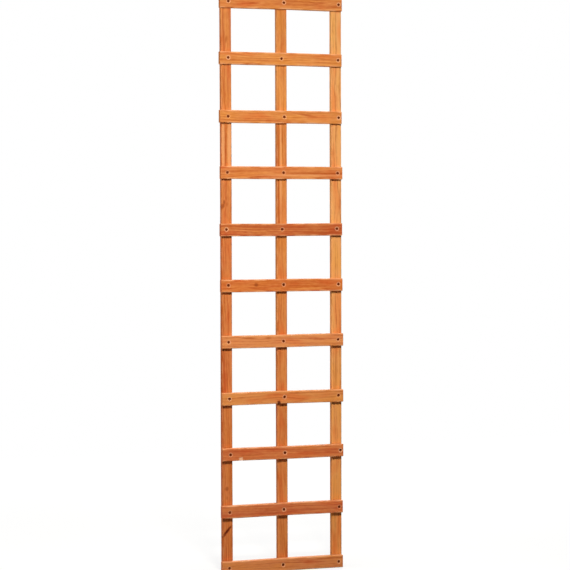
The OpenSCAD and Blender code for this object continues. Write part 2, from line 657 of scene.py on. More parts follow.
@dataclass(frozen=True)
class ScrewHole:
    """Where a drilled hole meets a face: a right-angled cone from a rim down to a straight bore.

    A square patch of grid lines round the hole is bent into circles, ring by ring: inside the bore, up
    the cone by its shares, over the eased rim, clear of it by a few times its ease, and out to the
    patch's edge. The cone is ragged by that share, in waves that run lobes times round it. depth is how
    far below the face the bore's ring lies, bare how little stain the cone has, times a share within
    uneven, and halo how far past the rim the stain is worn. rust_and_shade is how strongly the wood in
    the bottom of the cone is darkened inside the radius dark_radius, ending softly over
    dark_radius_edge: partly rust stain from the screw and partly painted shade in the bottom of the recess.
    """

    rim: float
    depth: float
    bare: float = 0.0
    halo: float = 1.6
    uneven: Pair = (0.5, 1.5)
    # How strongly the cone's bottom is darkened, and over what radius: partly rust stain and partly painted
    # shade in the recess.
    rust_and_shade: float = 0.0
    dark_radius: float = 4.4
    dark_radius_edge: float = 0.35
    bore: float = 1.85
    inner: float = 0.6
    shares: tuple[float, ...] = (0.0, 0.5, 0.64, 0.8, 1.0)
    ease: float = 0.15
    eased: float = 0.03
    clear: float = 4.0
    flat_rings: int = 4
    ragged: float = 0.035
    lobes: tuple[int, ...] = (1, 2, 5)
    patch: float = 9.0
    rings: int = 12
    round_rings: int = 9
    bore_ring: int = 2

    def lines(self) -> Array:
        """Grid lines of the patch, from its middle, evenly spaced."""
        return np.linspace(-self.patch, self.patch, 2 * self.rings + 1)

    def profile(self) -> tuple[Array, Array]:
        """Works out the rings: the cone is as deep as its radius is less than the rim's.

        Returns:
            Radius and depth of each ring, from the bore's middle out to the patch's edge.
        """
        ease = min(self.ease, (self.rim - self.bore) / 2)
        cone = self.bore + (self.rim - ease - self.bore) * np.array(self.shares)
        outer = np.linspace(self.rim + self.clear * ease, self.patch, self.flat_rings)
        radius = np.array([0.0, self.bore * self.inner, self.bore, *cone, self.rim + ease, *outer])
        down = [self.depth] * (self.bore_ring + 1)
        return radius, np.array([*down, *(self.rim - cone), self.eased, *(0.0 * outer)])

    def bend(self, seed: int) -> tuple[Array, Array, Array, Array]:
        """Works out the bent patch.

        A point's ring is the larger of its two distances from the middle, and its angle runs evenly
        round that ring. Outside the rim the circles ease back into the square, and the bareness falls
        off as a bell curve of the distance from the rim. The darkened bottom of the cone, partly rust stain
        and partly painted shade in the recess, counts as bareness below zero.

        Args:
            seed: picks how ragged and how worn the rim is.

        Returns:
            Offset along, offset across, depth and bareness, each 2 * rings + 1 square.
        """
        steps = np.arange(-self.rings, self.rings + 1)
        u, v = np.meshgrid(steps, steps, indexing="ij")
        index = np.maximum(abs(u), abs(v))
        safe = np.maximum(index, 1)
        lead = abs(u) >= abs(v)
        main = np.where(lead, u, v)
        ratio = np.where(lead, v, u) / np.where(main == 0, 1, main)
        angle = np.where(lead, ratio * np.pi / 4, np.pi / 2 - ratio * np.pi / 4)
        angle = angle + np.where(main < 0, np.pi, 0.0)
        radius, depth = (table[index] for table in self.profile())
        cone = (index > self.bore_ring + 1) & (index < self.rings - 1)
        lengths = tuple(np.pi * 2 / lobe for lobe in self.lobes)
        ragged = 1.0 + self.ragged * waves(angle, seed, lengths) * cone
        square = np.clip((index - self.round_rings) / (self.rings - self.round_rings), 0.0, 1.0)
        along = radius * ragged * ((1 - square) * np.cos(angle) + square * u / safe)
        across = radius * ragged * ((1 - square) * np.sin(angle) + square * v / safe)
        distance = np.hypot(along, across)
        past = np.clip((distance - self.rim) / self.halo, 0.0, None)
        # Inside the darkened radius the bareness is below zero: the cone's bottom is darkened, partly as
        # rust stain and partly as painted shade in the recess.
        outside = np.clip((distance - self.dark_radius) / self.dark_radius_edge, -1.0, 1.0)
        worn = self.bare * np.random.default_rng(seed + Draw.RIM).uniform(*self.uneven)
        bare = np.where(outside > 0, worn * np.exp(-past ** 2), self.rust_and_shade) * outside
        return along, across, depth, bare

    def bore_loop(self) -> tuple[Array, Array]:
        """Finds the bore's ring, whose points lie bore_ring steps from the middle.

        Returns:
            Patch rows and columns of its points, in the order of their angle.
        """
        reach = np.arange(-self.bore_ring, self.bore_ring + 1)
        u, v = (side.ravel() for side in np.meshgrid(reach, reach, indexing="ij"))
        rim = np.maximum(abs(u), abs(v)) == self.bore_ring
        order = np.argsort(np.arctan2(v[rim], u[rim]))
        return u[rim][order] + self.rings, v[rim][order] + self.rings


COUNTERSINK = ScrewHole(rim=5.5, depth=6.0, bare=0.44, rust_and_shade=0.85)
EXIT_HOLE = ScrewHole(rim=2.05, depth=0.4)
PILOT_HOLE = ScrewHole(rim=2.05, depth=14.6)


@dataclass
class Lath:
    """One planed batten with eased edges, in its own directions: along, across and into the panel.

    drilled are its screws' places along and across. arris is the radius of its long edges and end_ease
    the chamfer of its sawn ends. edge_pale is how pale the edges are worn, fading over fade. top_highlight
    is a painted highlight: how much paler the upper side of a slat is painted, where light from above
    falls on it. foot is its tint at the ground. The steps are the widest spaces of its grid along, across
    and at knots and nicks, where margin and nick_reach go past them, and strip is the first space beside
    an arris. The ends are closed by rings that shrink from the first share of cap_shrink to the second. A
    blemish's dip fades out over shoal beside an arris.

    rub is the mean and the swing of the wear on the arrises, and plane, bow, saw and sway are how far
    the planer's waves, the warp, the sawn ends and the grain stray. side_shift sets the waves of one side
    off from the next one's, and bow_waves are shares of the lath's length. parted is how far the grain
    parts round a knot, over the shares beside of the knot's size. The tree's heart lies within the
    ranges heart, and leans.
    """

    node: str
    shade: Shade
    slot: str
    seed: int
    blemishes: list[Blemish] = field(default_factory=list)
    nicks: list[Nick] = field(default_factory=list)
    drilled: list[Pair] = field(default_factory=list)
    upright: bool = False
    arris: float = 2.0
    end_ease: float = 0.7
    step_along: float = 5.0
    step_across: float = 3.0
    fine: float = 1.0
    strip: float = 0.8
    margin: float = 4.0
    nick_reach: float = 1.6
    arris_steps: int = 4
    cap_rings: int = 9
    cap_shrink: Pair = (0.95, 0.05)
    edge_pale: float = 1.0
    edge_mean: float = 0.6
    # Painted highlight: how much paler the upper side of a slat is painted, where light from above falls on
    # it.
    top_highlight: float = 0.75
    fade: float = 1.8
    shoal: float = 3.0
    foot: Colour = (1.06, 0.94, 0.95, 1.0)
    rub: Pair = (0.32, 0.30)
    plane: float = 0.03
    side_shift: Pair = (37.0, 11.0)
    bow: float = 0.5
    bow_waves: Pair = (1.7, 0.8)
    saw: float = 0.08
    saw_slope: float = 0.7
    saw_waves: Pair = (23.0, 9.0)
    sway: float = 2.0
    parted: float = 1.2
    beside: Pair = (3.0, 2.0)
    heart: tuple[Pair, Pair] = ((-30, 30), (14, 45))
    lean: float = 0.02
    trunk: float = 5000
    long: float = field(init=False)
    wide: float = field(init=False)
    thick: float = field(init=False)
    start: Array = field(init=False)
    axes: Array = field(init=False)

    def __post_init__(self) -> None:
        """Takes the lath's size and place from the frame."""
        low, high = (np.array(corner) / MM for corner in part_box(self.node))
        size, middle = high - low, (low + high) / 2
        self.thick = float(size[1])
        if self.upright:
            self.long, self.wide = float(size[2]), float(size[0])
            self.start = np.array([middle[0], low[1], low[2]])
            self.axes = ALONG_Z
        else:
            self.long, self.wide = float(size[0]), float(size[2])
            self.start = np.array([low[0], low[1], middle[2]])
            self.axes = ALONG_X

    def drill(self, tops: Array) -> None:
        """Notes where screws pass, in order along the lath, from the places of their tops in the panel."""
        places = (tops - self.start) @ self.axes.T
        self.drilled = sorted((float(along), float(across)) for along, across, _ in places)

    def waver(self, place: Array, draw: Draw) -> Array:
        """This lath's own wavering line for one of its uses."""
        return waves(place, self.seed + draw, WAVES[draw])

    def face_lines(self) -> tuple[Array, int]:
        """Spaces the lines across the front and back faces.

        The holes of an upright stray sideways, so the patch of lines follows their mean.

        Returns:
            Places across the faces, and the number of the first of those round the holes.
        """
        edge = self.wide / 2 - self.arris
        ease = edge - self.strip
        patch = np.mean([across for _, across in self.drilled]) + COUNTERSINK.lines()
        first = spaced([-edge, -ease, patch[0]], self.step_across)
        last = spaced([patch[-1], ease, edge], self.step_across)
        return np.concatenate([first, patch[1:], last[1:]]), len(first) - 1

    def side_lines(self) -> Array:
        """Places of the lines along a side, from its front arris to its back one."""
        near, far = self.arris, self.thick - self.arris
        return spaced([near, near + self.strip, far - self.strip, far], self.step_across)

    def section(self, lines: Array) -> tuple[Array, Array, Array, Array]:
        """The lath's outline: front face, side, back face and side, with round arrises.

        Args:
            lines: places across the front and back faces.

        Returns:
            Points across and into the lath, their outward directions, how far into an arris each lies,
            and how pale it is worn, which fades from an arris into the faces.
        """
        r, half, thick = self.arris, self.wide / 2, self.thick
        turn = np.linspace(0, np.pi / 2, self.arris_steps + 2)[1:-1]
        side = self.side_lines()
        faces = [
            (np.stack([lines, 0 * lines], 1), (0, -1)),
            (np.stack([0 * side + half, side], 1), (1, 0)),
            (np.stack([lines[::-1], 0 * lines + thick], 1), (0, 1)),
            (np.stack([0 * side - half, side[::-1]], 1), (-1, 0)),
        ]
        corners = [(half - r, r), (half - r, thick - r), (r - half, thick - r), (r - half, r)]
        edges = [half - r - abs(lines), np.minimum(side - r, thick - r - side)] * 2
        parts, ways, nears, pales = [], [], [], []
        for quarter, ((points, way), corner) in enumerate(zip(faces, corners)):
            from_edge = edges[quarter] if quarter < 2 else edges[quarter][::-1]
            angle = turn + (quarter - 1) * np.pi / 2
            rays = np.stack([np.cos(angle), np.sin(angle)], 1)
            parts += [points, np.array(corner) + r * rays]
            ways += [np.tile(np.array(way, float), (len(points), 1)), rays]
            nears += [np.zeros(len(points)), np.sin(2 * turn)]
            pales += [np.exp(-(from_edge / self.fade) ** 2), np.ones(len(turn))]
        return tuple(np.concatenate(part) for part in (parts, ways, nears, pales))

    def stations(self) -> tuple[Array, list[int]]:
        """Spaces the places along the lath where its outline is repeated, closer at holes, knots and nicks.

        Returns:
            The places, and the number of the first of those at each hole.
        """
        patch, least = COUNTERSINK.patch, 1.0
        zones = [(b.along - b.long - self.margin, b.along + b.long + self.margin) for b in self.blemishes
                 if b.flaw in (Flaw.KNOT, Flaw.SPIKE)]
        zones += [(nick.along - self.nick_reach * nick.long, nick.along + self.nick_reach * nick.long)
                  for nick in self.nicks]
        edges = [edge for zone in zones for edge in zone]
        lows = [self.end_ease, *(at + patch for at, _ in self.drilled)]
        highs = [*(at - patch for at, _ in self.drilled), self.long - self.end_ease]
        runs, holes = [np.array([0.0])], []
        for number, (low, high) in enumerate(zip(lows, highs)):
            cuts = sorted({low, high, *(edge for edge in edges if low + least < edge < high - least)})
            for first, last in zip(cuts, cuts[1:]):
                middle = (first + last) / 2
                step = self.fine if any(a < middle < b for a, b in zones) else self.step_along
                runs.append(np.linspace(first, last, math.ceil((last - first) / step), endpoint=False))
            if number < len(self.drilled):
                holes.append(sum(len(run) for run in runs))
                runs.append(self.drilled[number][0] + COUNTERSINK.lines()[:-1])
        runs.append(np.array([self.long - self.end_ease, self.long]))
        return np.concatenate(runs), holes

    def surface(self) -> tuple[Array, Array, list[Array]]:
        """The worn and drilled surface on a grid of stations by outline points.

        Each outline point is moved inwards by wear: arrises by a slowly changing amount, faces by the
        planer's shallow waves, blemishes by their own dip. Holes replace the grid under them.

        Returns:
            Points in the lath's own directions and wear shares, rows by columns by 3, and the faces.
        """
        lines, first_line = self.face_lines()
        outline, ways, near, pale = self.section(lines)
        along, holes = self.stations()
        rows, columns = len(along), len(outline)
        a = np.repeat(along[:, None], columns, 1)
        b = np.repeat(outline[None, :, 0], rows, 0)
        c = np.repeat(outline[None, :, 1], rows, 0)
        mean, swing = self.rub
        by_side, by_face = (shift * ways[None, :, way] for way, shift in enumerate(self.side_shift))
        rub = mean + swing * self.waver(a + by_side, Draw.RUB)
        plane = self.plane * (1 + self.waver(a + by_face, Draw.PLANE))
        inward = near[None, :] * np.maximum(rub, 0.0) + (1 - near[None, :]) * plane
        front = (abs(c) < TINY) * np.clip((self.wide / 2 - self.arris - abs(b)) / self.shoal, 0.0, 1.0)
        for blemish in self.blemishes:
            inward = inward + front * DIPS[blemish.flaw] * np.clip(1 - blemish.reach(a, b) ** 2, 0, None)
        wear = np.zeros((rows, columns, 3))
        worn = np.clip(self.edge_mean + self.waver(a, Draw.PALE), 0, 1)
        # Painted highlight: a slat's upper side is painted paler, as light from above makes it. It shares
        # the edge channel with the worn edges.
        top_highlight_share = 0.0 if self.upright else self.top_highlight * np.clip(-ways[None, :, 0], 0, 1)
        wear[..., 0] = np.maximum(self.edge_pale * pale[None, :] * worn, top_highlight_share)
        end = np.isin(np.arange(rows), (0, rows - 1)).astype(float)[:, None]
        wear[..., 1] = end
        inward = inward + end * self.end_ease
        b = b - ways[None, :, 0] * inward
        c = c - ways[None, :, 1] * inward
        grid = np.stack([a, b, c], -1)
        for nick in self.nicks:
            self.damage(grid, wear, nick)
        faces = grid_faces(rows, columns)
        bores = self.cut_holes(grid, wear, faces, holes, first_line, len(lines))
        bends = tuple(self.long * share for share in self.bow_waves)
        grid[..., 1] += self.bow * waves(grid[..., 0], self.seed + Draw.BOW, bends)
        return grid, wear, [faces[faces[..., 0] >= 0], bores]

    def damage(self, grid: Array, wear: Array, nick: Nick) -> None:
        """Bites a nick out of its edge and lifts a splinter off the face beside it.

        The lines near that edge draw in, most at the nick's middle. The splinter's bed runs down along
        the grain from a feather edge to a steep break, which differ from fibre to fibre.

        Args:
            grid: the points, changed in place.
            wear: the wear shares, changed in place.
            nick: the damage.
        """
        a, b, c = grid[..., 0], grid[..., 1], grid[..., 2]
        fall = np.exp(-((a - nick.along) / nick.long) ** nick.fall)
        lean = np.clip(0.5 + nick.side * b / self.wide, 0.0, 1.0) ** nick.lean
        ragged = 1.0 + nick.ragged * self.waver(a + nick.slant * c, Draw.BITE)
        spread = np.hypot(b - nick.side * (self.wide / 2 - nick.bed), c) / nick.bed
        torn = nick.torn * self.waver(b, Draw.SPLINTER)
        run = (a - nick.along) / nick.long + torn
        rise = np.clip((run + nick.start) / nick.slope, 0.0, 1.0)
        chip = rise * np.clip((1.0 - run) / nick.steep, 0.0, 1.0) * np.exp(-spread ** nick.fall)
        wear[..., 2] = np.maximum(wear[..., 2], np.clip(nick.crisp * nick.bare * chip, 0, 1))
        wear[..., 0] *= 1.0 - fall * np.clip(nick.clear * lean, 0.0, 1.0)
        grid[..., 1] = b - nick.side * nick.bite * fall * lean * ragged
        grid[..., 2] = c + nick.splinter * chip

    def cut_holes(self, grid: Array, wear: Array, faces: Array, holes: list[int], first_line: int,
                  lines: int) -> Array:
        """Bends the grid into the screw holes, and opens those that go through a slat.

        Args:
            grid: the points, changed in place.
            wear: the wear shares, changed in place.
            faces: the grid's faces, where those inside an open bore are marked -1.
            holes: the first station of each hole.
            first_line: the first face line of the holes' patch.
            lines: how many lines a face has.

        Returns:
            The faces that line the bores.
        """
        columns = grid.shape[1]
        patch = np.arange(len(COUNTERSINK.lines()))
        front = first_line + patch
        back = 2 * lines + len(self.side_lines()) + 2 * self.arris_steps - 1 - front
        bores = [np.empty((0, 4), int)]
        for number, (first, (at, across)) in enumerate(zip(holes, self.drilled)):
            rows = first + patch
            openings = [(front, PILOT_HOLE)] if self.upright else [(front, COUNTERSINK), (back, EXIT_HOLE)]
            for column, hole in openings:
                spot = np.ix_(rows, column)
                da, db, depth, bare = hole.bend(self.seed + number)
                face = 0.0 if column is front else self.thick
                grid[..., 0][spot] = at + da
                grid[..., 1][spot] = across + db
                grid[..., 2][spot] = np.where(depth > 0, abs(face - depth), grid[..., 2][spot])
                wear[..., 2][spot] = bare
            if self.upright:
                continue
            inner = COUNTERSINK.rings + np.arange(-COUNTERSINK.bore_ring, COUNTERSINK.bore_ring)
            faces[np.ix_(rows[inner], front[inner])] = -1
            faces[np.ix_(rows[inner], back[inner] - 1)] = -1
            ring_row, ring_column = COUNTERSINK.bore_loop()
            near = rows[ring_row] * columns + front[ring_column]
            far = rows[ring_row] * columns + back[ring_column]
            bores.append(np.stack([near, far, np.roll(far, -1), np.roll(near, -1)], 1))
        return np.concatenate(bores)

    def caps(self, grid: Array) -> tuple[Array, Array, list[Array]]:
        """Closes the two sawn ends with rings that shrink to the middle, a little uneven from the saw.

        Args:
            grid: the surface's points, whose first and last rows are the ends.

        Returns:
            Extra points, their wear and the faces of both ends, numbered after the grid's points.
        """
        rows, columns = grid.shape[:2]
        count = self.cap_rings * columns
        base = rows * columns
        shrink = np.linspace(*self.cap_shrink, self.cap_rings)[:, None, None]
        extra, faces = [], []
        for row, sense in ((0, -1), (rows - 1, 1)):
            ring = grid[row]
            middle = ring.mean(0)
            rings = middle + shrink * (ring - middle)[None]
            across = rings[..., 1] * self.saw_slope + rings[..., 2]
            rings[..., 0] += self.saw * sense * (waves(across, self.seed + row, self.saw_waves) - 1.0)
            extra += [rings.reshape(-1, 3), middle[None]]
            numbers = np.concatenate([row * columns + np.arange(columns), base + np.arange(count)])
            quads = numbers[grid_faces(self.cap_rings + 1, columns).reshape(-1, 4)]
            last = numbers[-columns:]
            fan = np.stack([last, np.roll(last, -1), np.full(columns, base + count)], 1)
            faces += [quads[:, ::sense], fan[:, ::sense]]
            base += count + 1
        points = np.concatenate(extra)
        wear = np.tile([0.0, 1.0, 0.0], (len(points), 1))
        return points, wear, faces

    def grain(self, points: Array) -> Array:
        """Places in the tree that the lath was sawn from, along its trunk and from its heart.

        The heart lies off the lath and leans to it, the grain wavers, and it parts round each knot.

        Args:
            points: places in the lath's own directions, n by 3.

        Returns:
            Places along the trunk and from its heart, n by 3.
        """
        draw = np.random.default_rng(self.seed + Draw.TREE)
        a, b, c = points[:, 0], points[:, 1].copy(), points[:, 2]
        ahead, aside = self.beside
        for knot in (blemish for blemish in self.blemishes if blemish.flaw is Flaw.KNOT):
            off = b - knot.across
            fall = np.exp(-((a - knot.along) / (ahead * knot.long)) ** 2 - abs(off) / (aside * knot.wide))
            b = b - self.parted * knot.wide * fall * np.tanh(off / knot.wide)
        sway = self.sway * self.waver(a, Draw.SWAY)
        across, into = self.heart
        heart_b = draw.uniform(*across) + draw.uniform(-self.lean, self.lean) * a + sway
        heart_c = draw.choice([-1.0, 1.0]) * draw.uniform(*into) + draw.uniform(-self.lean, self.lean) * a
        return np.stack([a + draw.uniform(0, self.trunk), b - heart_b, c - heart_c], 1)

    def build(self, finish: StainedSoftwood) -> bpy.types.Object:
        """Makes the lath, dresses it and puts it in its node's place.

        Args:
            finish: its wood.

        Returns:
            The finished piece.
        """
        grid, wear, faces = self.surface()
        extra, extra_wear, cap_faces = self.caps(grid)
        points = np.concatenate([grid.reshape(-1, 3), extra])
        shares = np.concatenate([wear.reshape(-1, 3), extra_wear])
        material = finish.build(self.node, self.shade, self.foot, self.blemishes)
        attributes = {"grain": self.grain(points), "board": points, "wear": shares}
        piece = make_object(f"{self.node}_lath", points @ self.axes + self.start, faces + cap_faces,
                            material, attributes)
        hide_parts(self.node)
        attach(piece, "root")
        return piece


@dataclass(frozen=True)
class Screw:
    """Countersunk wood screw with a cross recess, as a profile carried round its axis.

    Sizes are radii, and depths from the head's top. span and wing are half the recess's, and walls are
    the shares of its outline and depth on its way up to the lip. rounded are the rings at the head's
    edge: how far in from it, and how deep. spokes are the degrees of the lines between the wings. The
    thread's flanks are steep, and the point tapers from its start to blunt, by the power bulge.
    """

    length: float
    head: float = 3.5
    rim: float = 0.4
    rounded: tuple[Pair, ...] = ((0.3, 0.0), (0.08, 0.06), (0.0, 0.2))
    crest: float = 1.75
    root: float = 1.2
    pitch: float = 1.7
    steep: float = 4.0
    neck: float = 10.0
    neck_rows: int = 4
    point: float = 6.0
    tip: float = 0.2
    blunt: float = 0.05
    bulge: float = 0.7
    span: float = 2.0
    wing: float = 0.55
    recess: float = 2.0
    walls: tuple[Pair, ...] = ((0.3, 0.97), (0.75, 0.7), (0.95, 0.12))
    lip: float = 0.1
    spokes: Pair = (26.0, 36.0)
    rows_a_turn: int = 6

    def angles(self) -> Array:
        """Spaces the lines round the axis, with lines on the corners of the recess.

        Returns:
            Their angles in radians, rising through four equal arms.
        """
        half = [math.degrees(math.atan2(self.wing, self.span)), *self.spokes]
        arm = np.array([-45.0, *(-angle for angle in half[::-1]), 0.0, *half])
        return np.radians((arm[None] + np.arange(0, 360, 90)[:, None]).ravel())

    def head_rows(self, angle: Array) -> list[tuple[Array, float]]:
        """Works out the rings of the head, from the recess outwards and down to the cone.

        The recess's outline is the nearer of its wing's end and its wing's side at each angle.

        Args:
            angle: the lines round the axis.

        Returns:
            Radius on each line, and depth, of each ring.
        """
        arm = (angle + np.pi / 4) % (np.pi / 2) - np.pi / 4
        cross = np.minimum(self.span / np.cos(arm), self.wing / np.maximum(abs(np.sin(arm)), TINY))
        flat = np.ones_like(angle)
        inner = [(cross * share, self.recess * deep) for share, deep in self.walls]
        top = [(cross + self.lip, 0.0), ((cross + self.head) / 2, 0.0)]
        edge = [(flat * (self.head - inset), deep) for inset, deep in self.rounded]
        return inner + top + edge + [(flat * self.head, self.rim)]

    def shank_rows(self, angle: Array) -> list[tuple[Array, float]]:
        """Works out the rings of the shank: a plain neck, then a thread that tapers to the point.

        The thread is a ridge where the depth in pitches, less the angle in turns, is near a half.

        Args:
            angle: the lines round the axis.

        Returns:
            Radius on each line, and depth, of each ring.
        """
        depth = np.concatenate([
            np.linspace(self.rim + self.head - self.crest, self.neck, self.neck_rows),
            np.arange(self.neck, self.length - self.tip, self.pitch / self.rows_a_turn)[1:]])[:, None]
        turn = (depth / self.pitch - angle[None] / (2 * np.pi)) % 1.0
        ridge = np.clip(1.0 - self.steep * abs(turn - 0.5), 0.0, 1.0)
        ridge = ridge * np.clip((depth - self.neck) / self.pitch, 0, 1)
        taper = np.clip((self.length - depth) / self.point, self.blunt, 1.0) ** self.bulge
        plain = np.clip((self.neck - depth) / self.pitch, 0.0, 1.0)
        core = self.root + (self.crest - self.root) * plain
        radius = (core + (self.crest - self.root) * ridge) * taper
        return [(row, float(at[0])) for row, at in zip(radius, depth)]

    def surface(self, turned: float) -> tuple[Array, list[Array]]:
        """The closed surface of one screw.

        Args:
            turned: how far it is turned about its axis, in radians.

        Returns:
            Points, n by 3, across twice and into the wood, and the faces.
        """
        angle = self.angles()
        rings = self.head_rows(angle) + self.shank_rows(angle)
        columns = len(angle)
        radius = np.array([row for row, _ in rings])
        depth = np.repeat(np.array([at for _, at in rings])[:, None], columns, 1)
        grid = np.stack([radius * np.cos(angle + turned), radius * np.sin(angle + turned), depth], -1)
        ends = np.array([[0.0, 0.0, self.recess], [0.0, 0.0, self.length]])
        points = np.concatenate([grid.reshape(-1, 3), ends])
        first = np.arange(columns)
        last = first + (len(rings) - 1) * columns
        pit = np.stack([np.full(columns, len(points) - 2), np.roll(first, -1), first], 1)
        tip = np.stack([last, np.roll(last, -1), np.full(columns, len(points) - 1)], 1)
        return points, [grid_faces(len(rings), columns).reshape(-1, 4), pit, tip]


@dataclass
class ScrewRow:
    """The screws through one slat, found in the frame, where they stand farther apart than gap."""

    node: str
    seed: int
    gap: float = 20.0
    tops: Array = field(init=False)
    length: float = field(init=False)

    def __post_init__(self) -> None:
        """Finds each screw's axis: its node's points fall into clusters along the slat."""
        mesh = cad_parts[self.node].data
        points = np.empty(len(mesh.vertices) * 3, np.float32)
        mesh.vertices.foreach_get("co", points)
        points = points.reshape(-1, 3)[np.argsort(points[::3])] / MM
        clusters = np.split(points, np.flatnonzero(np.diff(points[:, 0]) > self.gap) + 1)
        lows = np.array([cluster.min(0) for cluster in clusters])
        middles = (lows + [cluster.max(0) for cluster in clusters]) / 2
        self.tops = np.stack([middles[:, 0], lows[:, 1], middles[:, 2]], 1)
        self.length = float(np.ptp(points[:, 1]))

    def build(self, material: bpy.types.Material) -> bpy.types.Object:
        """Makes the row's screws as one piece, each driven home at its own turn.

        Args:
            material: their coat.

        Returns:
            The finished piece.
        """
        turns = np.random.default_rng(self.seed).uniform(0.0, np.pi / 2, len(self.tops))
        points, faces, base = [], [], 0
        for top, turned in zip(self.tops, turns):
            local, groups = Screw(self.length).surface(turned)
            points.append(local @ ALONG_X + top)
            faces += [group + base for group in groups]
            base += len(local)
        piece = make_object(f"{self.node}_steel", np.concatenate(points), faces, material)
        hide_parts(self.node)
        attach(piece, "root")
        return piece


@dataclass(frozen=True)
class Lamp:
    """One square soft lamp: where it stands and looks in metres, its side, power and colour."""

    name: str
    place: tuple[float, float, float]
    aim: tuple[float, float, float]
    side: float
    power: float
    colour: str = "#ffffff"


@dataclass
class Studio:
    """Plain white room: camera, floor, soft lamps and background. Lengths are in metres.

    The camera's place and aim are given from the foot of the middle upright. The floor's paint looks
    pale, and is grey to the light that it sends back up. Its glow grows from floor_glow to full between
    the two distances of floor_fade.
    """

    azimuth: float = -17.9
    distance: float = 5.97
    height: float = 1.135
    aim: tuple[float, float, float] = (0.0093, 0.0, 0.9155)
    roll: float = -0.15
    focal_px: float = 1870.0
    view_end: float = 100.0
    fill: float = 0.05
    floor_side: float = 6.0
    floor_level: float = -0.0005
    floor_paint: str = "#e1e1df"
    floor_grey: str = "#6c6c6a"
    floor_glow: float = 0.70
    floor_fade: Pair = (1.0, 2.6)
    glow: float = 1.03
    lamps: tuple[Lamp, ...] = (
        Lamp("key", (-0.46, -2.24, 1.86), (0.0, 0.0, 0.5), 0.40, 58.0, "#fffaf4"),
        Lamp("left_fill", (-3.6, -0.15, 1.6), (0.0, 0.0, 0.95), 1.8, 58.0),
        Lamp("overhead", (0.0, -0.12, 5.0), (0.0, 0.0, 0.0), 0.8, 125.0),
        Lamp("behind", (2.2, 3.6, 2.2), (0.0, 0.0, 0.9), 1.6, 150.0),
    )

    def camera(self) -> None:
        """Sets the camera at the photograph's place, level but for a small roll."""
        data = bpy.data.cameras.new("camera")
        data.sensor_width = SENSOR_MM
        data.lens = self.focal_px * SENSOR_MM / IMAGE_PX
        data.clip_end = self.view_end
        low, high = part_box("middle_upright")
        foot = np.array([(low.x + high.x) / 2, 0.0, 0.0])
        turn = math.radians(self.azimuth)
        place = [math.sin(turn) * self.distance, -math.cos(turn) * self.distance, self.height]
        camera = bpy.data.objects.new("camera", data)
        self.point(camera, foot + place, foot + self.aim, math.radians(self.roll))
        bpy.context.scene.collection.objects.link(camera)
        bpy.context.scene.camera = camera

    def point(self, thing: bpy.types.Object, place: Array | Colour, aim: Array | Colour,
              roll: float = 0.0) -> None:
        """Stands a camera or lamp at a place, looking at aim.

        Args:
            thing: the camera or lamp.
            place: where it stands.
            aim: what it looks at.
            roll: how far it is rolled about its view, in radians.
        """
        dx, dy, dz = (b - a for a, b in zip(place, aim))
        thing.location = tuple(place)
        thing.rotation_euler = (math.pi / 2 + math.atan2(dz, math.hypot(dx, dy)), 0.0, math.atan2(-dx, dy))
        turned = thing.rotation_euler.to_matrix() @ Matrix.Rotation(roll, 3, "Z")
        thing.rotation_euler = turned.to_euler()

    def light(self, lamp: Lamp) -> None:
        """Adds one lamp.

        Args:
            lamp: where it stands and how it shines.
        """
        data = bpy.data.lights.new(lamp.name, "AREA")
        data.shape = "SQUARE"
        data.size = lamp.side
        data.energy = lamp.power
        data.color = srgb(lamp.colour)[:3]
        thing = bpy.data.objects.new(lamp.name, data)
        self.point(thing, lamp.place, lamp.aim)
        bpy.context.scene.collection.objects.link(thing)

    def seen(self, tree: Tree) -> Source:
        """Tells rays that show a surface from those that light others.

        Args:
            tree: the node tree of a material or world.

        Returns:
            1 on rays from the camera, on mirror rays and through glass, else 0.
        """
        rays = add_node(tree, "LightPath")
        total: float | Source = 0.0
        for name in ("Is Camera Ray", "Is Glossy Ray", "Is Transmission Ray"):
            total = add_node(tree, "Math", {0: rays.outputs[name], 1: total}, operation="MAXIMUM")
        return total

    def background(self) -> None:
        """White to the eye, and a weak even fill on the object."""
        world = bpy.data.worlds.new("studio")
        world.use_nodes = True
        tree = world.node_tree
        tree.nodes.clear()
        strength = add_node(tree, "MapRange", {"Value": self.seen(tree), TO: (self.fill, 1.0)})
        shade = add_node(tree, "Background", {"Color": WHITE, "Strength": strength})
        add_node(tree, "OutputWorld", {"Surface": shade})
        bpy.context.scene.world = world

    def floor(self) -> None:
        """Pale floor that looks white but still takes a faint shadow near the panel.

        Farther off it turns wholly white, and it sends little light back up.
        """
        material, tree = new_tree("pale_floor")
        place = add_node(tree, "TexCoord").outputs["Object"]
        away = add_node(tree, "VectorMath", {0: place}, operation="LENGTH")
        white = add_node(tree, "MapRange", {
            "Value": away, FROM: self.floor_fade, TO: (self.floor_glow, 1.0)})
        seen = self.seen(tree)
        share = add_node(tree, "Math", {0: seen, 1: white}, operation="MULTIPLY")
        paint = add_node(tree, "Mix", {
            "Factor": seen, "A": srgb(self.floor_grey), "B": srgb(self.floor_paint)}, **MIX)
        matt = add_node(tree, "BsdfDiffuse", {"Color": paint})
        glow = add_node(tree, "Emission", {"Color": WHITE, "Strength": self.glow})
        both = add_node(tree, "MixShader", {0: share, 1: matt, 2: glow})
        add_node(tree, "OutputMaterial", {"Surface": both})
        square = np.array([[-1.0, -1.0], [1.0, -1.0], [1.0, 1.0], [-1.0, 1.0]]) * self.floor_side / 2
        edges = np.column_stack([square, np.full(len(square), self.floor_level)]) / MM
        make_object("floor", edges, [np.array([[0, 1, 2, 3]])], material)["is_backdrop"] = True

    def build(self) -> None:
        """Sets up the whole room."""
        self.camera()
        for lamp in self.lamps:
            self.light(lamp)
        self.background()
        self.floor()
        bpy.context.scene.view_settings.view_transform = "Standard"


def corners() -> list[list[float]]:
    """The object's box as plain lists."""
    return [[float(value) for value in corner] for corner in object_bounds()]


